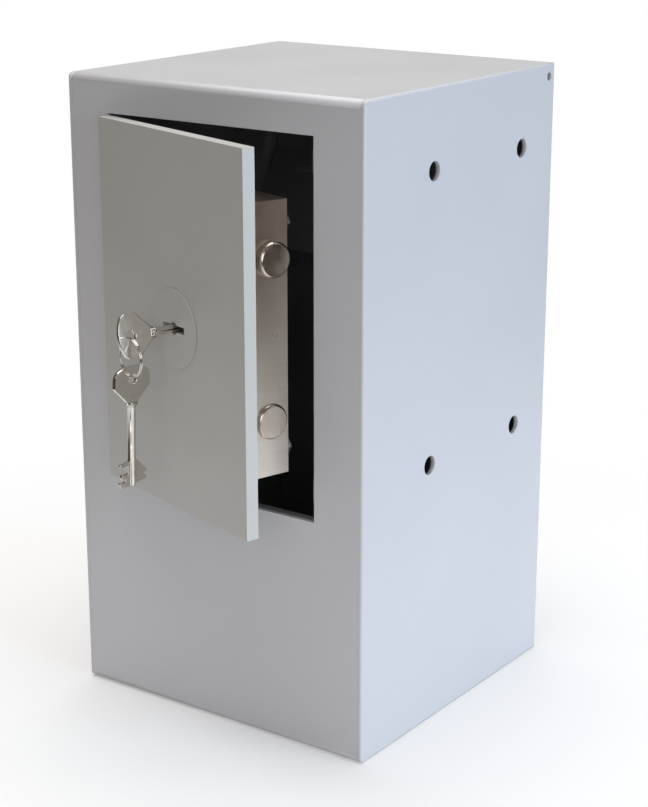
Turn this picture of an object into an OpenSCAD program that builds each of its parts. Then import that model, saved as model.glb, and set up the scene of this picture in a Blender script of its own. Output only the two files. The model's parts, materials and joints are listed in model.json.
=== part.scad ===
// Steel donation box: a welded body of bent sheet, an inset plate door on
// concealed swan-neck hinges, and a double-bitted key lock with two round bolts.
// +X is the right-hand side, the door faces -Y, and +Z is up. The origin is the
// middle of the base. The door stands ajar, with its key and a spare on a ring.

/* [Body] */
// Overall width
box_w = 218; // [214:1:240]
// Overall depth
box_d = 213; // [205:1:240]
// Overall height
box_h = 400; // [395:1:440]
// Outside radius of the sheet bends
bend_r = 5; // [4:0.5:7]
// Radius of the ground edges of the side plates
edge_r = 1.5; // [1:0.25:2]
// Radius of the fixing holes in the right side
fixing_r = 6; // [4:0.5:7]
// Distance between fixing holes, front to back
fixing_dy = 101; // [80:1:110]
// Distance between fixing holes, bottom to top
fixing_dz = 180; // [150:1:190]

/* [Door] */
// Width of the front panel left of the opening
stile_left = 30.5; // [30:0.5:34]
// Width of the front panel right of the opening
stile_right = 34.5; // [33:0.5:36]
// Height of the front panel above the opening
rail_top = 22.5; // [18:0.5:26]
// Height of the door opening
opening_h = 229; // [224:1:236]
// Gap at the hinge side of the closed door
gap_hinge = 2.2; // [2:0.1:2.6]
// Gap round the other sides of the closed door
gap = 1.3; // [1:0.1:1.6]
// How far the door stands open, in degrees
door_open = 17; // [0:0.1:80]

/* [Lock] */
// Diameter of the round bolts
bolt_d = 21; // [18:0.5:21]
// Height between the two bolts
bolt_pitch = 96; // [92:1:100]
// Travel of the bolts
bolt_throw = 22; // [18:1:22]
// Turn of the key that throws the bolts, in degrees
key_turn = 76; // [70:1:80]
// Width of the lock case
case_w = 85; // [85:1:90]
// Height of the lock case
case_h = 162; // [158:1:170]

/* [Key] */
// Length of the key's bow
bow_l = 23; // [22:0.5:25]
// Width of the key's bow
bow_w = 27; // [24:0.5:28]
// Thickness of the bow and the bit
bow_t = 2.6; // [2:0.1:2.8]
// Mean radius of the key ring
ring_r = 11.4; // [11:0.1:12.5]
// Radius of the key ring's wire
wire_r = 1.1; // [0.8:0.1:1.1]

/* [Deposit slot] */
// Width of the slot in the back
slot_w = 120; // [80:1:140]
// Height of the slot
slot_h = 12; // [8:1:13]

/* [Hidden] */
$fn = 96;

// Cuts run this far past the faces they open
past = 1;

// Body
sheet = 3;
front_y = -box_d / 2;
in_x = box_w / 2 - sheet;
in_y = box_d / 2 - sheet;
in_z0 = sheet;
in_z1 = box_h - sheet;

// Front opening, and the door that fills it
open_x0 = -box_w / 2 + stile_left;
open_x1 = box_w / 2 - stile_right;
open_z1 = box_h - rail_top;
open_z0 = open_z1 - opening_h;
door_t = 8;
door_back = front_y + door_t;
door_x0 = open_x0 + gap_hinge;
door_x1 = open_x1 - gap;
door_z0 = open_z0 + gap;
door_z1 = open_z1 - gap;
strip_t = 3;
strip_depth = 5.5;
strip_leg = 15;

// Angle behind the right stile, and the door stops on it
keeper_x = open_x1 + 3.5;
keeper_y1 = door_back + 40;
keeper_z = [open_z0 + 4, open_z1 - 4];
keeper_hole_gap = 1.5;
stop_gap = 0.5;
stop_reach = 10;
stop_h = 14;
stop_inset = 5;

// Fixing holes in the right side, and the small vent at its top rear corner
fixing_y = 16.5;
fixing_z = box_h - 139;
vent_r = 2.7;
vent_y = box_d / 2 - 7;
vent_z = box_h - 8;

// Hinges: the pins stand behind the left stile, level with the door's back
hinge_reach = 20.5;
pivot_x = open_x0 - hinge_reach;
pivot_y = door_back;
hinge_inset = 45;
hinge_z = [open_z0 + hinge_inset, open_z1 - hinge_inset];
pin_r = 2.5;
run_gap = 0.05;
knuckle_r = 3.8;
arm_h = 6;
arm_w = 6;
lug_gap = 0.3;
lug_t = 4;
lug_r = 4.5;
web_t = 2.5;
web_y1 = pivot_y + 16;
hook_r = 14;
hook_y = 20;
foot_l = 27;
foot_t = 4;
foot_h = 16;
foot_holes = [10, 21];
screw_r = 2.5;
screw_depth = 5;
screw_head_r = 4.5;
screw_head_h = 2.5;

// Lock: its own origin is where the key's axis meets the back of the door
key_x = 2;
key_z = (open_z0 + open_z1) / 2 - 1.5;
case_x1 = door_x1 - 13.2 - key_x;
case_x0 = case_x1 - case_w;
case_d = 31.5;
wall = 1.5;
base_t = 3;
base_gap = 0.1;
bolt_y = 19.3;
bolt_tip = [6, 2.5];
slot_l = 22.4;
slot_t = 4.4;
keyhole_r = 3.8;
escutcheon_r = 23.5;
escutcheon_t = 0.8;

// Crank that the key turns, and the carrier that its pin drives
hub_r = 13;
hub_y0 = 20.5;
hub_y1 = 27;
pocket_y1 = 26.4;
crank_pin_r = 3;
crank_swing = bolt_throw / (2 * sin(key_turn / 2));
arm_y0 = 24;
spigot_r = 4;
web_y = [27.3, 29.3];
web_z = [-25, -8];
pin_slot_w = 7.2;
pin_slot_z = [-22, -10.5];
flange_x = [22, 26];
rod_r = 2.5;
rod_y = 23;
rod_z = 30;
post_x = [-14, -10];

// Levers, stacked on their post
lever_count = 5;
lever_t = 1.6;
lever_pitch = 2.1;
lever_y0 = 10;
lever_post_z = 36;
lever_post_r = 3;
lever_window_r = 13.2;
lever_rim_r = 17.5;

// Studs that hold the lock cover
stud_r = 2.5;
stud_inset = [6, 5.5];
stud_z = case_h / 2 - 14.5;

// Key: its own origin is on its axis at the front of the escutcheon
key_front = -door_t - escutcheon_t;
shaft_r = 2.45;
shaft_out = 14.8;
key_tip = 35;
bit_r = 10.8;
bit_l = 15;
bow_hole_r = 3.1;
bow_hole_s = bow_l - 8.2;
ring_drop = 1.4;
spare_yaw = 9;
spare_lean = 1.7;

// Deposit slot and the plates behind it
slot_z0 = box_h - 60;
chute_t = 2;
chute_slope = 58;
chute_z = slot_z0 - 12;
chute_l = 62;
hood_l = 40;
hood_w = slot_w + 30;

// ---- placing ----

// Carries the children with the door
module on_door() {
    translate([pivot_x, pivot_y, 0]) rotate(-door_open) translate([-pivot_x, -pivot_y, 0])
        children();
}

// Origin on the key's axis at the back of the door, +Y into the lock
module in_lock() {
    on_door() translate([key_x, door_back, key_z]) children();
}

// Puts the children, drawn in XZ with their thickness in Z, upright in the lock
module upright() {
    rotate([90, 0, 0]) mirror([0, 0, 1]) children();
}

// Box from its low corner to its high corner
module block(lo, hi) {
    translate(lo) cube(hi - lo);
}

// Cylinder along Y, from y0 to y1
module rod_along_y(r, y0, y1) {
    translate([0, y0, 0]) rotate([-90, 0, 0]) cylinder(h = y1 - y0, r = r);
}

// Cylinder along X, from x0 to x1
module rod_along_x(r, x0, x1) {
    translate([x0, 0, 0]) rotate([0, 90, 0]) cylinder(h = x1 - x0, r = r);
}

// ---- body ----

// Rectangle w by h with round corners
module round_rect(w, h, r) {
    translate([r, 0]) square([w - 2 * r, h]);
    translate([0, r]) square([w, h - 2 * r]);
    for (x = [r, w - r], y = [r, h - r])
        translate([x, y]) circle(r = r);
}

// Side view of the body: round at three bends and sharp at the top rear seam
module side_outline(inset) {
    r = bend_r - inset;
    w = box_d - 2 * inset;
    h = box_h - 2 * inset;
    translate([front_y + inset, inset]) {
        round_rect(w, h, r);
        translate([w - r, h - r]) square(r);
    }
}

// Extrudes a side view from x0 to x1
module across_x(x0, x1) {
    translate([x0, 0, 0]) rotate([90, 0, 90]) linear_extrude(x1 - x0) children();
}

module side_blank(x0, x1) {
    intersection() {
        across_x(x0, x1) side_outline(0);
        linear_extrude(box_h) translate([-box_w / 2, front_y]) round_rect(box_w, box_d, edge_r);
        translate([0, box_d / 2, 0]) rotate([90, 0, 0]) linear_extrude(box_d)
            translate([-box_w / 2, 0]) round_rect(box_w, box_h, edge_r);
    }
}

module body_wrap() {
    color("#a3a4a8")
    difference() {
        across_x(-in_x, in_x) difference() {
            side_outline(0);
            side_outline(sheet);
        }
        block([open_x0, front_y - past, open_z0], [open_x1, front_y + sheet + past, open_z1]);
        block([-slot_w / 2, in_y - past, slot_z0], [slot_w / 2, in_y + sheet + past, slot_z0 + slot_h]);
    }
}

module side_plate_left() {
    color("#a8acb2") side_blank(-box_w / 2, -in_x);
}

module side_plate_right() {
    color("#b8c4d0")
    difference() {
        side_blank(in_x, box_w / 2);
        for (y = [-fixing_dy / 2, fixing_dy / 2], z = [-fixing_dz / 2, fixing_dz / 2])
            translate([0, fixing_y + y, fixing_z + z])
                rod_along_x(fixing_r, in_x - past, box_w / 2 + past);
        translate([0, vent_y, vent_z]) rod_along_x(vent_r, in_x - past, box_w / 2 + past);
    }
}

// Angle strips that deepen the edge of the opening
module sill_strip() {
    color("#8d8e92") {
        back = front_y + sheet;
        across_x(open_x0 - 8, open_x1) polygon([
            [back, open_z0 - strip_leg],
            [back + strip_t, open_z0 - strip_leg],
            [back + strip_t, open_z0 - strip_t],
            [back + strip_depth, open_z0 - strip_t],
            [back + strip_depth, open_z0],
            [back, open_z0]
        ]);
    }
}

module head_strip() {
    color("#8d8e92") {
        back = front_y + sheet;
        across_x(open_x0 - 8, open_x1) polygon([
            [back, open_z1],
            [back + strip_depth, open_z1],
            [back + strip_depth, open_z1 + strip_t],
            [back + strip_t, open_z1 + strip_t],
            [back + strip_t, open_z1 + strip_leg],
            [back, open_z1 + strip_leg]
        ]);
    }
}

// Angle behind the right stile, with a clearance hole for each bolt
module keeper_plate() {
    color("#77787c")
    difference() {
        union() {
            block([keeper_x, front_y + sheet, keeper_z[0]], [keeper_x + strip_t, keeper_y1, keeper_z[1]]);
            block([keeper_x, front_y + sheet, keeper_z[0]],
                  [in_x - 6, front_y + sheet + strip_t, keeper_z[1]]);
        }
        for (z = [-bolt_pitch / 2, bolt_pitch / 2])
            translate([0, door_back + bolt_y, key_z + z])
                rod_along_x(bolt_d / 2 + keeper_hole_gap, keeper_x - past, keeper_x + strip_t + past);
    }
}

// Two tabs that the closed door rests against
module door_stops() {
    color("#77787c")
    for (z = [keeper_z[0] + stop_inset, keeper_z[1] - stop_inset - stop_h])
        block([keeper_x - stop_reach, door_back + stop_gap, z],
              [keeper_x, door_back + stop_gap + strip_t, z + stop_h]);
}

// Plate with a flange on the back wall, sloping forward and down from z
module sloped_plate(w, z, l, lip) {
    run = l * cos(chute_slope);
    drop = l * sin(chute_slope);
    flat = 10;
    side = chute_t / cos(chute_slope);
    y = in_y;
    across_x(-w / 2, w / 2) polygon([
        [y, z],
        [y, z + flat],
        [y - chute_t, z + flat],
        [y - chute_t, z],
        [y - chute_t - run, z - drop],
        [y - chute_t - run, z - drop - side - lip],
        [y - run, z - drop - side - lip],
        [y - run, z - drop - side + chute_t * tan(chute_slope)]
    ]);
}

module chute_plate() {
    color("#4a4b4e") sloped_plate(2 * in_x, chute_z, chute_l, 8);
}

module slot_hood() {
    color("#4a4b4e") sloped_plate(hood_w, slot_z0 + slot_h + 2, hood_l, 0);
}

// ---- hinges ----

// Bracket on the left side plate, with a lug above and below the arm
module hinge_bracket(z) {
    color("#77787c")
    translate([0, 0, z])
    difference() {
        union() {
            reach = arm_h / 2 + lug_gap + lug_t;
            block([-in_x, front_y + sheet, -reach], [-in_x + web_t, web_y1, reach]);
            for (side = [0, 1]) mirror([0, 0, side]) translate([0, 0, arm_h / 2 + lug_gap]) {
                block([-in_x, pivot_y - lug_r, 0], [pivot_x, pivot_y + lug_r, lug_t]);
                translate([pivot_x, pivot_y, 0]) cylinder(h = lug_t, r = lug_r);
            }
        }
        translate([pivot_x, pivot_y, -box_h / 2]) cylinder(h = box_h, r = pin_r);
    }
}

module hinge_bracket_lower() {
    hinge_bracket(hinge_z[0]);
}

module hinge_bracket_upper() {
    hinge_bracket(hinge_z[1]);
}

// Headed pin, dropped in from above
module hinge_pin(z) {
    reach = arm_h / 2 + lug_gap + lug_t;
    color("silver")
    translate([pivot_x, pivot_y, z]) {
        translate([0, 0, -reach - 1.5]) cylinder(h = 2 * reach + 1.5, r = pin_r);
        translate([0, 0, reach]) cylinder(h = 1.6, r = pin_r + 1.5);
    }
}

module hinge_pin_lower() {
    hinge_pin(hinge_z[0]);
}

module hinge_pin_upper() {
    hinge_pin(hinge_z[1]);
}

// Flat view of the hooked arm: it runs back from the pin, round the edge of
// the stile, and forward to the back of the door
module hook_outline() {
    circle(r = knuckle_r);
    translate([-arm_w / 2, 0]) square([arm_w, hook_y]);
    translate([2 * hook_r - arm_w / 2, 0]) square([arm_w, hook_y]);
    translate([hook_r, hook_y]) intersection() {
        difference() {
            circle(r = hook_r + arm_w / 2);
            circle(r = hook_r - arm_w / 2);
        }
        translate([-2 * hook_r, 0]) square([4 * hook_r, 2 * hook_r]);
    }
}

module swan_arm(z) {
    foot_x0 = 2 * hook_r - arm_w / 2;
    color("#5f6064")
    on_door() translate([pivot_x, pivot_y, z])
    difference() {
        union() {
            translate([0, 0, -arm_h / 2]) linear_extrude(arm_h) hook_outline();
            block([foot_x0, 0, -foot_h / 2], [foot_x0 + arm_w + foot_l, foot_t, foot_h / 2]);
        }
        translate([0, 0, -arm_h]) cylinder(h = 2 * arm_h, r = pin_r + run_gap);
        for (x = foot_holes)
            translate([foot_x0 + arm_w + x - 4, 0, 0]) rod_along_y(screw_r + 0.1, -past, foot_t + past);
    }
}

module swan_arm_lower() {
    swan_arm(hinge_z[0]);
}

module swan_arm_upper() {
    swan_arm(hinge_z[1]);
}

// Repeats the children at each hinge screw, on the back of the door
module at_hinge_screws() {
    for (z = hinge_z, x = foot_holes)
        translate([pivot_x + 2 * hook_r + arm_w / 2 + x - 4, door_back, z]) children();
}

module hinge_screws() {
    color("silver")
    on_door() at_hinge_screws() {
        rod_along_y(screw_r, -screw_depth, foot_t);
        rod_along_y(screw_head_r, foot_t, foot_t + screw_head_h);
    }
}

// ---- door ----

// Horizontal keyhole with a round middle, cut from y0 to y1
module keyhole(y0, y1) {
    block([-slot_l / 2, y0, -slot_t / 2], [slot_l / 2, y1, slot_t / 2]);
    rod_along_y(keyhole_r, y0, y1);
}

module door_leaf() {
    color("#8b8a88")
    on_door()
    difference() {
        block([door_x0, front_y, door_z0], [door_x1, door_back, door_z1]);
        translate([key_x, door_back, key_z]) keyhole(-door_t - past, past);
        at_hinge_screws() rod_along_y(screw_r + run_gap, -screw_depth, past);
    }
}

module escutcheon() {
    color("#908f8c")
    in_lock() difference() {
        rod_along_y(escutcheon_r, key_front, -door_t);
        keyhole(key_front - past, past);
    }
}

// ---- lock ----

// Repeats the children at each cover stud
module at_studs() {
    for (x = [case_x0 + stud_inset[0], case_x1 - stud_inset[1]], z = [-stud_z, stud_z])
        translate([x, 0, z]) children();
}

module lock_base_plate() {
    inset = wall + base_gap;
    color("#8f8a82")
    in_lock() difference() {
        block([case_x0 + inset, 0, -case_h / 2 + inset], [case_x1 - inset, base_t, case_h / 2 - inset]);
        keyhole(-past, base_t + past);
        at_studs() rod_along_y(stud_r + 0.2, -past, base_t + past);
    }
}

// Five-sided cover of folded sheet
module lock_cover() {
    color("#c9c0b2")
    in_lock() difference() {
        block([case_x0, 0, -case_h / 2], [case_x1, case_d, case_h / 2]);
        block([case_x0 + wall, -past, -case_h / 2 + wall], [case_x1 - wall, case_d - wall, case_h / 2 - wall]);
        for (z = [-bolt_pitch / 2, bolt_pitch / 2])
            translate([0, bolt_y, z]) rod_along_x(bolt_d / 2 + run_gap, case_x1 - 2 * wall, case_x1 + past);
        rod_along_y(spigot_r + run_gap, case_d - 2 * wall, case_d + past);
        at_studs() rod_along_y(stud_r + 0.2, case_d - 2 * wall, case_d + past);
    }
}

module cover_studs() {
    color("silver") in_lock() at_studs() rod_along_y(stud_r, 0, case_d + 3);
}

// Domed nuts on the back of the cover
module cover_nuts() {
    flat_h = 3.2;
    dome_r = 3.7;
    color("silver")
    in_lock() at_studs() difference() {
        union() {
            translate([0, case_d, 0]) rotate([-90, 0, 0]) cylinder(h = flat_h, r = 4.6, $fn = 6);
            intersection() {
                translate([0, case_d + flat_h - 1, 0]) sphere(r = dome_r);
                rod_along_y(dome_r + 1, case_d + flat_h - 0.2, case_d + flat_h + dome_r);
            }
        }
        rod_along_y(stud_r, case_d - past, case_d + 3);
    }
}

// Posts on the base plate that hold the inner ends of the guide rods
module guide_posts() {
    color("#9a9a9a")
    in_lock() for (z = [-rod_z, rod_z]) translate([0, 0, z]) difference() {
        block([post_x[0], base_t, -4], [post_x[1], rod_y + 4, 4]);
        translate([0, rod_y, 0]) rod_along_x(rod_r + run_gap, post_x[0] - past, post_x[1] + past);
    }
}

module guide_rods() {
    color("silver")
    in_lock() for (z = [-rod_z, rod_z]) translate([0, rod_y, z])
        rod_along_x(rod_r, post_x[0], case_x1 - wall);
}

module lever_post() {
    color("silver")
    in_lock() translate([0, 0, lever_post_z]) rod_along_y(lever_post_r, base_t, hub_y0 - 0.3);
}

// Flat view of one lever, about the key's axis
module lever_outline() {
    difference() {
        union() {
            circle(r = lever_rim_r);
            translate([-6, lever_window_r]) square([12, lever_post_z - lever_window_r]);
            translate([0, lever_post_z]) circle(r = 7);
        }
        circle(r = lever_window_r);
        translate([0, lever_post_z]) circle(r = lever_post_r + run_gap);
    }
}

// Puts a flat view in the place of each lever
module each_lever() {
    for (i = [0 : lever_count - 1])
        translate([0, lever_y0 + i * lever_pitch + lever_t, 0]) rotate([90, 0, 0])
            linear_extrude(lever_t) children();
}

module lever_pack() {
    color("#c8a860") in_lock() each_lever() lever_outline();
}

// Leaf springs, one on each lever, that press towards the left wall
module lever_springs() {
    color("#b0b4b8")
    in_lock() each_lever() polygon([[-6, 25], [-6, 24], [-20.4, 5], [-21, 5.4], [-7, 25]]);
}

// Round bolt, chamfered at the tip, with grooves where it sticks out further
module lock_bolt(z, tip, grooves) {
    r = bolt_d / 2;
    chamfer = 1.2;
    end = case_x1 + tip;
    color("#c6beb2")
    in_lock() translate([0, bolt_y, z]) difference() {
        union() {
            rod_along_x(r, flange_x[1], end - chamfer);
            translate([end - chamfer, 0, 0]) rotate([0, 90, 0]) cylinder(h = chamfer, r1 = r, r2 = r - chamfer);
        }
        for (back = grooves) translate([end - back, 0, 0]) rotate([0, 90, 0]) difference() {
            cylinder(h = 0.6, r = r + past);
            translate([0, 0, -past]) cylinder(h = 3 * past, r = r - 0.6);
        }
    }
}

module bolt_upper() {
    lock_bolt(bolt_pitch / 2, bolt_tip[0], [2.8, 4.4]);
}

module bolt_lower() {
    lock_bolt(-bolt_pitch / 2, bolt_tip[1], []);
}

// Flange that carries both bolts, and a web with the slot for the crank pin
module bolt_carrier() {
    half = bolt_pitch / 2 + 12;
    slot_x = -crank_swing * sin(key_turn / 2);
    color("#8e8e90")
    in_lock() difference() {
        union() {
            block([flange_x[0], base_t + 6, -half], [flange_x[1], web_y[1], half]);
            block([slot_x - 7.5, web_y[0], web_z[0]], [flange_x[1], web_y[1], web_z[1]]);
        }
        block([slot_x - pin_slot_w / 2, web_y[0] - past, pin_slot_z[0]],
              [slot_x + pin_slot_w / 2, web_y[1] + past, pin_slot_z[1]]);
        for (z = [-rod_z, rod_z]) translate([0, rod_y, z])
            rod_along_x(rod_r + run_gap, flange_x[0] - past, flange_x[1] + past);
    }
}

// Crank: a hub with a pocket for the end of the key's bit, an arm and a pin
module drive_crank() {
    color("#7d7d80")
    in_lock() {
        difference() {
            union() {
                rod_along_y(hub_r, hub_y0, hub_y1);
                rotate([0, key_turn / 2, 0]) block([-4.5, arm_y0, -crank_swing], [4.5, hub_y1, 0]);
                rotate([0, key_turn / 2, 0]) translate([0, 0, -crank_swing])
                    rod_along_y(4.5, arm_y0, hub_y1);
            }
            rotate([0, key_turn, 0])
                block([-bit_r - 0.4, hub_y0 - past, -1.6], [bit_r + 0.4, pocket_y1, 1.6]);
            rod_along_y(shaft_r + 0.3, hub_y0 - past, pocket_y1);
        }
        rod_along_y(spigot_r, hub_y1, case_d);
        rotate([0, key_turn / 2, 0]) translate([0, 0, -crank_swing])
            rod_along_y(crank_pin_r, hub_y1, web_y[1] + 0.3);
    }
}

// ---- keys ----

// Flat view of the bow, from the neck at the origin along +Y
module bow_outline() {
    half = bow_w / 2;
    difference() {
        intersection() {
            polygon([
                [-2.8, 0], [2.8, 0],
                [half, bow_l * 0.46], [half - 0.4, bow_l * 0.78],
                [half - 3, bow_l * 0.92], [half - 5, bow_l], [5 - half, bow_l], [3 - half, bow_l * 0.92],
                [0.4 - half, bow_l * 0.78], [-half, bow_l * 0.46]
            ]);
            translate([0, bow_l - 24]) circle(r = 24);
        }
        translate([0, bow_hole_s]) circle(r = bow_hole_r);
    }
}

// Flat view of the double bit, from its tip at the origin along +Y: steps for
// the levers on one side, a cut-away shoulder and one step on the other
module bit_outline() {
    polygon([
        [0, 0], [-9.8, 0], [-9.8, 3], [-6, 3], [-6, 4.8], [-8.6, 4.8], [-8.6, 7.6],
        [-4, 7.6], [-4, 12.4], [-9.8, 12.4], [-9.8, 13.8], [-2, bit_l],
        [4, bit_l], [bit_r - 2.8, 10.4], [bit_r, 8.2], [bit_r, 6.4], [bit_r - 2.4, 6.4],
        [bit_r - 2.4, 4.8], [bit_r - 0.8, 4.8], [bit_r - 0.8, 2], [2, 1.4], [2, 0]
    ]);
}

// Key drawn along Z with its bow in the XZ plane: the neck is at the origin,
// the bow above it and the shaft below
module key_blank() {
    shaft_l = shaft_out + key_tip;
    rotate([90, 0, 0]) translate([0, 0, -bow_t / 2]) linear_extrude(bow_t) bow_outline();
    translate([0, 0, -shaft_l]) cylinder(h = shaft_l + 1, r = shaft_r);
    translate([0, 0, -1.4]) cylinder(h = 2, r = shaft_r + 0.6);
    translate([0, 0, -shaft_l]) rotate([90, 0, 0]) translate([0, 0, -bow_t / 2])
        linear_extrude(bow_t) bit_outline();
}

// Key in the lock, turned back from the slot
module key() {
    color("#c9c4ba")
    in_lock() translate([0, key_front - shaft_out, 0]) rotate([0, key_turn, 0]) rotate([90, 0, 0]) key_blank();
}

// Place of the hole in the bow of the key in the lock
ring_y = key_front - shaft_out - bow_hole_s;

// Ring through the bow, in a plane across the key
module key_ring() {
    color("#c9c4ba")
    in_lock() translate([0, ring_y, -ring_drop - ring_r]) rotate([90, 0, 0])
        rotate_extrude() translate([ring_r, 0]) circle(r = wire_r, $fn = 32);
}

// Spare key, hanging slightly askew from the bottom of the ring with its bow across it
module spare_key() {
    color("#c9c4ba")
    in_lock() translate([0, ring_y, -2 * ring_drop - 2 * ring_r])
        rotate([-spare_lean, 0, 0]) rotate([0, 0, 90 + spare_yaw]) translate([0, 0, -bow_hole_s]) key_blank();
}

body_wrap();
side_plate_left();
side_plate_right();
sill_strip();
head_strip();
keeper_plate();
door_stops();
chute_plate();
slot_hood();
hinge_bracket_upper();
hinge_bracket_lower();
hinge_pin_upper();
hinge_pin_lower();
door_leaf();
escutcheon();
swan_arm_upper();
swan_arm_lower();
hinge_screws();
lock_base_plate();
lock_cover();
cover_studs();
cover_nuts();
guide_posts();
guide_rods();
lever_post();
lever_pack();
lever_springs();
bolt_upper();
bolt_lower();
bolt_carrier();
drive_crank();
key();
key_ring();
spare_key();
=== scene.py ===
import json
import math

import bpy
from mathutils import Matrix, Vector


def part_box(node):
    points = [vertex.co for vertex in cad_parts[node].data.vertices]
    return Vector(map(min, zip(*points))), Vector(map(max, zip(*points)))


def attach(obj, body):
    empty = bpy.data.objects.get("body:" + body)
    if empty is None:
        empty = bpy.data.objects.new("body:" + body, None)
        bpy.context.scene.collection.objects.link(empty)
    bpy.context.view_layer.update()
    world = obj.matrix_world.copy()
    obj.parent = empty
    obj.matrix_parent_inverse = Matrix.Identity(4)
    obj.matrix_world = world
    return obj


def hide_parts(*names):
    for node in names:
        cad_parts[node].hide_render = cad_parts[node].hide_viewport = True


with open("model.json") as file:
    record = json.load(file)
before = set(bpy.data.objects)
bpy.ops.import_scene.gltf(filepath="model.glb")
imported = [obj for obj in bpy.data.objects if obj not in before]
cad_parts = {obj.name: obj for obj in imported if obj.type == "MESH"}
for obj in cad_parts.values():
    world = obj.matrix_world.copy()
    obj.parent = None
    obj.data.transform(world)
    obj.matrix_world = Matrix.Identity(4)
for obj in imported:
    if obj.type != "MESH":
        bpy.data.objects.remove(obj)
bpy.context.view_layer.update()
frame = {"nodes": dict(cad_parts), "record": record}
NODES = frame["nodes"]
MM = 0.001


# ---- camera, light and stage ----

def look_at(obj, target):
    obj.rotation_euler = (Vector(target) - obj.location).to_track_quat("-Z", "Y").to_euler()


def add_camera():
    """Portrait camera at the height and angle from which the box shows its door and right side."""
    azimuth, elevation, distance = math.radians(35.46), math.radians(16.92), 1.230
    target = Vector((0.006, 0.0, 0.1837))
    back = Vector((math.sin(azimuth) * math.cos(elevation), -math.cos(azimuth) * math.cos(elevation),
                   math.sin(elevation)))
    data = bpy.data.cameras.new("camera")
    data.sensor_fit = "AUTO"
    data.sensor_width = 36
    data.lens = 84.5
    camera = bpy.data.objects.new("camera", data)
    camera.location = target + back * distance
    look_at(camera, target)
    bpy.context.scene.collection.objects.link(camera)
    bpy.context.scene.camera = camera


def add_area(name, location, target, size, power, color, in_mirrors=True):
    data = bpy.data.lights.new(name, "AREA")
    data.shape = "RECTANGLE"
    data.size, data.size_y = size
    data.energy = power
    data.color = color
    light = bpy.data.objects.new(name, data)
    light.location = location
    look_at(light, target)
    light.visible_glossy = in_mirrors
    bpy.context.scene.collection.objects.link(light)


def add_world():
    """White where the camera looks past the floor, dim and warm for everything else."""
    world = bpy.data.worlds.new("studio")
    world.use_nodes = True
    nodes, links = world.node_tree.nodes, world.node_tree.links
    room = nodes["Background"]
    room.inputs["Color"].default_value = (1.0, 0.93, 0.86, 1)
    room.inputs["Strength"].default_value = 0.16
    seen = nodes.new("ShaderNodeBackground")
    seen.inputs["Color"].default_value = (1, 1, 1, 1)
    path = nodes.new("ShaderNodeLightPath")
    mix = nodes.new("ShaderNodeMixShader")
    links.new(path.outputs["Is Camera Ray"], mix.inputs[0])
    links.new(room.outputs[0], mix.inputs[1])
    links.new(seen.outputs[0], mix.inputs[2])
    links.new(mix.outputs[0], nodes["World Output"].inputs["Surface"])
    bpy.context.scene.world = world


def floor_material():
    """Pale paper, brighter away from the box. In reflections it ends at the edge of a dark table."""
    s = Shader("floor_paper", (0.9, 0.9, 0.9), 0.8)
    length = s.node("ShaderNodeVectorMath", operation="LENGTH")
    s.links.new(s.position, length.inputs[0])
    path = s.node("ShaderNodeLightPath")
    glow = s.node("ShaderNodeEmission")
    glow.inputs["Strength"].default_value = 1.0
    dark = s.node("ShaderNodeEmission")
    dark.inputs["Color"].default_value = (0.05, 0.036, 0.026, 1)
    seen = s.shaders(s.ramp(length.outputs["Value"], 0.16, 0.5, 0.25, 1), s.bsdf, glow)
    felt = s.shaders(s.ramp(length.outputs["Value"], 0.55, 0.95, 0, 1), s.bsdf, dark)
    mixed = s.shaders(path.outputs["Is Camera Ray"], felt, seen)
    s.links.new(mixed.outputs[0], s.nodes["Material Output"].inputs["Surface"])
    return s.material


def add_floor():
    bpy.ops.mesh.primitive_circle_add(vertices=96, radius=9, fill_type="NGON")
    floor = bpy.context.object
    floor.name = "floor"
    floor.data.materials.append(floor_material())


def add_stage():
    middle = (0, 0, 0.2)
    add_world()
    add_floor()
    add_area("right_softbox", (1.9, 0.0, 0.5), middle, (1.4, 1.2), 33, (0.68, 0.83, 1.0), False)
    add_area("right_window", (1.9, -0.05, 0.66), middle, (1.3, 0.75), 4, (0.84, 0.92, 1.0))
    add_area("top_softbox", (-0.2, 0.1, 1.9), middle, (1.6, 1.6), 35, (1.0, 0.985, 0.97))
    add_area("front_fill", (1.1, -2.1, 0.85), middle, (2.2, 1.3), 16.5, (1.0, 0.97, 0.96))


# ---- material helpers ----

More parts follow.
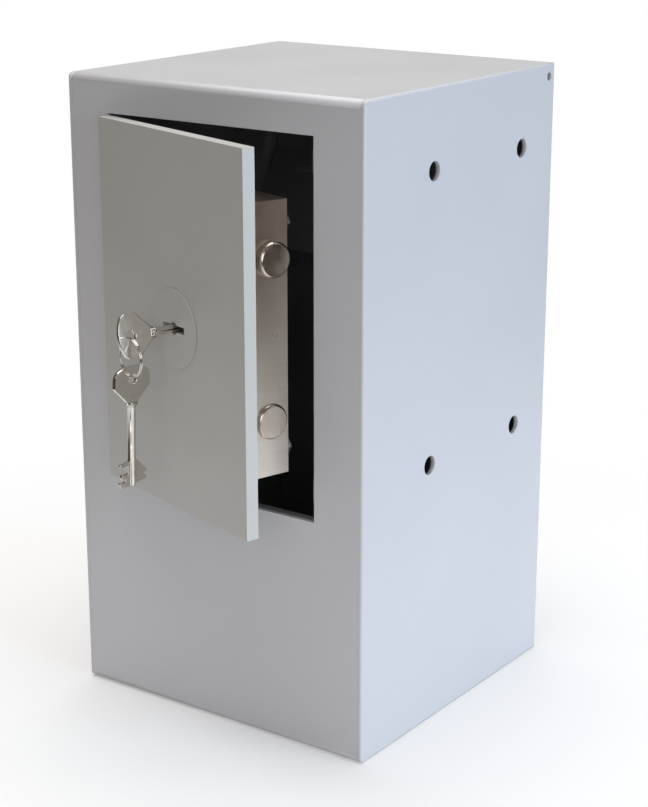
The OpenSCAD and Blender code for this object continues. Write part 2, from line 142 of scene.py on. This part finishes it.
class Shader:
    """A Principled material and short ways to feed it."""

    def __init__(self, name, color, roughness, metallic=0.0):
        self.material = bpy.data.materials.new(name)
        self.material.use_nodes = True
        self.nodes = self.material.node_tree.nodes
        self.links = self.material.node_tree.links
        self.bsdf = self.nodes["Principled BSDF"]
        self.color = color
        self.set("Base Color", (*color, 1))
        self.set("Roughness", roughness)
        self.set("Metallic", metallic)
        self.position = self.nodes.new("ShaderNodeTexCoord").outputs["Object"]

    def set(self, socket, value):
        self.bsdf.inputs[socket].default_value = value

    def feed(self, output, socket):
        self.links.new(output, self.bsdf.inputs[socket])

    def node(self, kind, **settings):
        node = self.nodes.new(kind)
        for key, value in settings.items():
            setattr(node, key, value)
        return node

    def put(self, value, socket):
        """Sets the socket to a number or vector, or links an output to it."""
        if isinstance(value, (int, float, tuple)):
            socket.default_value = value
        else:
            self.links.new(value, socket)

    def stretched(self, scale):
        mapping = self.node("ShaderNodeMapping")
        mapping.inputs["Scale"].default_value = scale
        self.links.new(self.position, mapping.inputs["Vector"])
        return mapping.outputs["Vector"]

    def noise(self, scale, detail=3.0, stretch=(1, 1, 1), roughness=0.5):
        noise = self.node("ShaderNodeTexNoise")
        noise.inputs["Scale"].default_value = scale
        noise.inputs["Detail"].default_value = detail
        noise.inputs["Roughness"].default_value = roughness
        self.links.new(self.stretched(stretch), noise.inputs["Vector"])
        return noise.outputs["Fac"]

    def noise_along(self, value, scale, detail=2.0):
        """Noise that changes only with one number."""
        noise = self.node("ShaderNodeTexNoise", noise_dimensions="1D")
        noise.inputs["Scale"].default_value = scale
        noise.inputs["Detail"].default_value = detail
        self.links.new(value, noise.inputs["W"])
        return noise.outputs["Fac"]

    def ramp(self, value, low, high, to_low, to_high):
        ramp = self.node("ShaderNodeMapRange")
        sockets = ("From Min", "From Max", "To Min", "To Max")
        for socket, number in zip(sockets, (low, high, to_low, to_high)):
            ramp.inputs[socket].default_value = number
        self.links.new(value, ramp.inputs["Value"])
        return ramp.outputs["Result"]

    def math(self, operation, a, b=0.0):
        node = self.node("ShaderNodeMath", operation=operation)
        self.put(a, node.inputs[0])
        self.put(b, node.inputs[1])
        return node.outputs[0]

    def vector(self, operation, a, b, output="Vector"):
        node = self.node("ShaderNodeVectorMath", operation=operation)
        self.put(a, node.inputs[0])
        self.put(b, node.inputs[1])
        return node.outputs[output]

    def mix(self, factor, a, b):
        mix = self.node("ShaderNodeMix", data_type="RGBA")
        self.links.new(factor, mix.inputs["Factor"])
        self.put((*a, 1) if isinstance(a, tuple) else a, mix.inputs[6])
        self.put((*b, 1) if isinstance(b, tuple) else b, mix.inputs[7])
        return mix.outputs[2]

    def shaders(self, factor, a, b):
        mix = self.node("ShaderNodeMixShader")
        self.links.new(factor, mix.inputs[0])
        self.links.new(a.outputs[0], mix.inputs[1])
        self.links.new(b.outputs[0], mix.inputs[2])
        return mix

    def bump(self, heights):
        """Chains (height, strength, distance) into the normal."""
        normal = None
        for height, strength, distance in heights:
            bump = self.node("ShaderNodeBump")
            bump.inputs["Strength"].default_value = strength
            bump.inputs["Distance"].default_value = distance
            self.links.new(height, bump.inputs["Height"])
            if normal is not None:
                self.links.new(normal, bump.inputs["Normal"])
            normal = bump.outputs["Normal"]
        self.feed(normal, "Normal")

    def edges(self, radius):
        """1 on sharp edges, 0 on flat faces."""
        bevel = self.node("ShaderNodeBevel", samples=4)
        bevel.inputs["Radius"].default_value = radius
        geometry = self.node("ShaderNodeNewGeometry")
        dot = self.vector("DOT_PRODUCT", bevel.outputs["Normal"], geometry.outputs["Normal"], "Value")
        return self.ramp(dot, 1.0, 0.9, 0.0, 1.0)

    def between(self, low, high):
        """1 inside a box from its low corner to its high corner, 0 outside."""
        middle = tuple((a + b) / 2 for a, b in zip(low, high))
        axes = self.node("ShaderNodeSeparateXYZ")
        self.links.new(self.vector("SUBTRACT", self.position, middle), axes.inputs[0])
        inside = 1.0
        for axis, a, b in zip(axes.outputs, low, high):
            held = self.math("LESS_THAN", self.math("ABSOLUTE", axis), (b - a) / 2)
            inside = self.math("MULTIPLY", held, inside)
        return inside

    def radius_from(self, point, axis):
        """Distance from the line through the point along the axis."""
        offset = self.vector("SUBTRACT", self.position, tuple(point))
        across = self.vector("CROSS_PRODUCT", offset, tuple(axis))
        return self.vector("LENGTH", across, (0, 0, 0), "Value")


def shade(color, factor):
    return tuple(channel * factor for channel in color)


# ---- materials ----

BLACK = (0.2, 0.194, 0.197)


def powder_coat(name, color, roughness=0.42):
    """Satin powder coat: orange peel, faint mottling, and lighter worn edges."""
    s = Shader(name, color, roughness)
    mottle = s.ramp(s.noise(9, 4), 0.3, 0.7, 0, 1)
    speck = s.ramp(s.noise(900, 2), 0.35, 0.65, 0, 1)
    tone = s.mix(mottle, shade(color, 0.98), shade(color, 1.02))
    tone = s.mix(s.math("MULTIPLY", speck, 0.25), tone, shade(color, 1.08))
    wear = s.math("MULTIPLY", s.edges(0.5 * MM), s.ramp(s.noise(160, 4), 0.45, 0.7, 0.05, 0.6))
    tone = s.mix(wear, tone, shade(color, 1.35))
    s.feed(tone, "Base Color")
    s.feed(s.ramp(s.noise(14, 3), 0.3, 0.7, roughness - 0.04, roughness + 0.05), "Roughness")
    s.bump([(s.noise(1100, 2), 0.12, 0.05 * MM), (s.noise(260, 2), 0.10, 0.06 * MM)])
    return s, tone


def body_coat(name, color):
    """The outside colour, with the inside of the body painted black."""
    s, tone = powder_coat(name, color)
    low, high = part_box("body_wrap")
    wall = 2.9 * MM
    margin = 0.1 * MM
    inside = s.between((low[0] - margin, low[1] + wall, low[2] + wall),
                       (high[0] + margin, high[1] - wall, high[2] - wall))
    s.feed(s.mix(inside, tone, BLACK), "Base Color")
    return s.material


def brushed_steel(name, color, stretch, roughness=0.28):
    """Sheet steel with fine grain along one axis."""
    s = Shader(name, color, roughness, 1.0)
    grain = s.noise(900, 3, stretch)
    tone = s.mix(s.ramp(grain, 0.3, 0.7, 0, 1), shade(color, 0.93), shade(color, 1.04))
    cloud = s.ramp(s.noise(40, 3), 0.35, 0.7, 0, 0.3)
    s.feed(s.mix(cloud, tone, shade(color, 0.82)), "Base Color")
    s.feed(s.ramp(s.noise(300, 3, stretch), 0.3, 0.7, roughness - 0.03, roughness + 0.05), "Roughness")
    s.bump([(grain, 0.05, 0.004 * MM)])
    return s.material


def case_steel(name, color):
    """The lock's plated sheet, with a painted reflection: dark brown at the case's top, fading to a
    bright copy of the steel at its bottom.
    """
    s = Shader(name, color, 0.3, 1.0)
    low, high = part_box("lock_cover")
    height = s.node("ShaderNodeSeparateXYZ")
    s.links.new(s.position, height.inputs[0])
    # Painted reflection: the colour runs from a bright copy of the steel at the bottom to a dark brown
    # at the top, with noise breaking up the fade.
    patches = s.math("MULTIPLY", s.ramp(s.noise(30, 3), 0.3, 0.7, -0.12, 0.12), high[2] - low[2])
    level = s.math("ADD", height.outputs["Z"], patches)
    painted_reflection_fade = s.ramp(level, low[2], high[2], 0, 1)
    grain = s.noise(700, 2, (0.04, 0.04, 1))
    brown = tuple(channel * share for channel, share in zip(color, (0.6, 0.52, 0.45)))
    tone = s.mix(painted_reflection_fade, shade(color, 1.25), brown)
    tone = s.mix(s.ramp(grain, 0.3, 0.7, 0, 0.12), tone, shade(color, 0.6))
    s.feed(tone, "Base Color")
    s.feed(s.ramp(s.noise(60, 3), 0.3, 0.7, 0.27, 0.35), "Roughness")
    s.bump([(grain, 0.05, 0.003 * MM)])
    return s.material


def turned_steel(name, color):
    """Bar steel with fine concentric tool marks on the ends of the bolts."""
    s = Shader(name, color, 0.2, 1.0)
    rings = [s.radius_from(middle_of(node), ALONG_DOOR) for node in ("bolt_upper", "bolt_lower")]
    radius = s.math("MINIMUM", *rings)
    marks = s.noise_along(radius, 2500)
    tone = s.mix(s.ramp(marks, 0.35, 0.65, 0, 1), shade(color, 0.9), shade(color, 1.03))
    smudge = s.ramp(s.noise(60, 4), 0.45, 0.75, 0, 0.35)
    s.feed(s.mix(smudge, tone, shade(color, 0.75)), "Base Color")
    s.feed(s.ramp(s.noise(90, 3), 0.3, 0.7, 0.17, 0.27), "Roughness")
    s.bump([(marks, 0.1, 0.01 * MM)])
    return s.material


def nickel(name, color):
    """Plated steel with handling scratches."""
    s = Shader(name, color, 0.2, 1.0)
    cloud = s.ramp(s.noise(150, 3), 0.45, 0.75, 0, 0.5)
    s.feed(s.mix(cloud, color, shade(color, 0.8)), "Base Color")
    s.feed(s.ramp(s.noise(220, 3), 0.35, 0.75, 0.16, 0.28), "Roughness")
    s.bump([(s.noise(1500, 2, (1, 1, 0.06)), 0.06, 0.01 * MM)])
    return s.material


def assign(node_names, material):
    for name in node_names:
        data = NODES[name].data
        data.materials.clear()
        data.materials.append(material)


def material_table():
    """The nodes of each material slot in the record."""
    table = {}
    for row in frame["record"]["subparts"]:
        table.setdefault(row["material_slot"], []).append(row["node"])
    return table


def dress():
    slots = material_table()
    body = body_coat("body_paint", (0.50, 0.50, 0.515))
    # The door paint is the body paint made darker and browner. The darkening is painted shade for the
    # door's face, which turns away from the front light.
    door = powder_coat("door_paint", (0.455, 0.45, 0.427))[0].material
    inner = powder_coat("inner_paint", BLACK)[0].material
    steel = case_steel("lock_steel", (0.68, 0.63, 0.57))
    bolts = turned_steel("bolt_steel", (0.68, 0.61, 0.53))
    bright = brushed_steel("bright_steel", (0.66, 0.66, 0.66), (1, 1, 1), 0.22)
    brass = brushed_steel("lever_brass", (0.72, 0.56, 0.3), (1, 0.05, 1))
    plate = nickel("key_nickel", (0.72, 0.69, 0.64))
    for slot, material in (("body_paint", body), ("door_paint", door), ("inner_paint", inner),
                           ("lock_steel", steel), ("bolt_steel", bolts), ("bright_steel", bright),
                           ("lever_brass", brass), ("key_nickel", plate)):
        assign(slots[slot], material)
    return plate


# ---- shapes ----

def soften_edges():
    """Small real bevels, so that every edge catches the light.

    The lock cover's flat faces are merged first: its long thin triangles shade unevenly.
    """
    widths = {"key": 0.55, "spare_key": 0.55, "lock_cover": 0.4, "cover_nuts": 0.15}
    for name, obj in NODES.items():
        weld = obj.modifiers.new("weld", "WELD")
        weld.merge_threshold = 0.001 * MM
        if name == "lock_cover":
            merge = obj.modifiers.new("merge_flat_faces", "DECIMATE")
            merge.decimate_type = "DISSOLVE"
            merge.angle_limit = math.radians(0.5)
        bevel = obj.modifiers.new("bevel", "BEVEL")
        bevel.width = widths.get(name, 0.3) * MM
        bevel.use_clamp_overlap = name not in ("key", "spare_key")
        bevel.segments = 2
        bevel.limit_method = "ANGLE"
        bevel.angle_limit = math.radians(35)
        bevel.harden_normals = True


def tube(name, path, radius, sides=12):
    """Round wire along a path of points, with closed ends."""
    vertices = []
    faces = []
    for i, point in enumerate(path):
        ahead = path[min(i + 1, len(path) - 1)] - path[max(i - 1, 0)]
        turn = ahead.to_track_quat("Z", "Y")
        for k in range(sides):
            angle = 2 * math.pi * k / sides
            spoke = Vector((radius * math.cos(angle), radius * math.sin(angle), 0))
            vertices.append(point + turn @ spoke)
    for i in range(len(path) - 1):
        for k in range(sides):
            a, b = i * sides + k, i * sides + (k + 1) % sides
            faces.append((a, b, b + sides, a + sides))
    faces.append(tuple(reversed(range(sides))))
    faces.append(tuple(range(len(vertices) - sides, len(vertices))))
    mesh = bpy.data.meshes.new(name)
    mesh.from_pydata(vertices, [], faces)
    mesh.shade_smooth()
    obj = bpy.data.objects.new(name, mesh)
    bpy.context.scene.collection.objects.link(obj)
    return obj


def add_split_ring(material):
    """Two turns of wire pressed together, in place of the plain ring."""
    low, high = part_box("key_ring")
    plain_wire = 1.1 * MM
    wire = 0.54 * MM
    radius = (high[2] - low[2]) / 2 - plain_wire
    middle = middle_of("key_ring")
    steps = 180
    path = []
    for i in range(steps + 1):
        turns = 1.94 * i / steps
        angle = 2 * math.pi * turns + math.radians(200)
        side = smooth_step((turns - 0.92) / 0.16) * 2 - 1
        around = ALONG_DOOR * math.cos(angle) + Vector((0, 0, math.sin(angle)))
        path.append(middle + around * radius + INTO_LOCK * side * wire)
    ring = tube("split_ring", path, wire)
    ring.data.materials.append(material)
    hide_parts("key_ring")
    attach(ring, "ring")


def smooth_step(t):
    t = min(max(t, 0.0), 1.0)
    return t * t * (3 - 2 * t)


def middle_of(node):
    low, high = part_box(node)
    return (Vector(low) + Vector(high)) / 2


def joint_row(name):
    joints = frame["record"]["behaviour"]["joints"]
    return next(joint for joint in joints if joint["name"] == name)


ALONG_DOOR = Vector(joint_row("bolt_throw")["axis"])
INTO_LOCK = Vector(joint_row("lever_lift")["axis"])

add_camera()
add_stage()
bpy.context.scene.view_settings.view_transform = "Standard"
plate = dress()
soften_edges()
add_split_ring(plate)
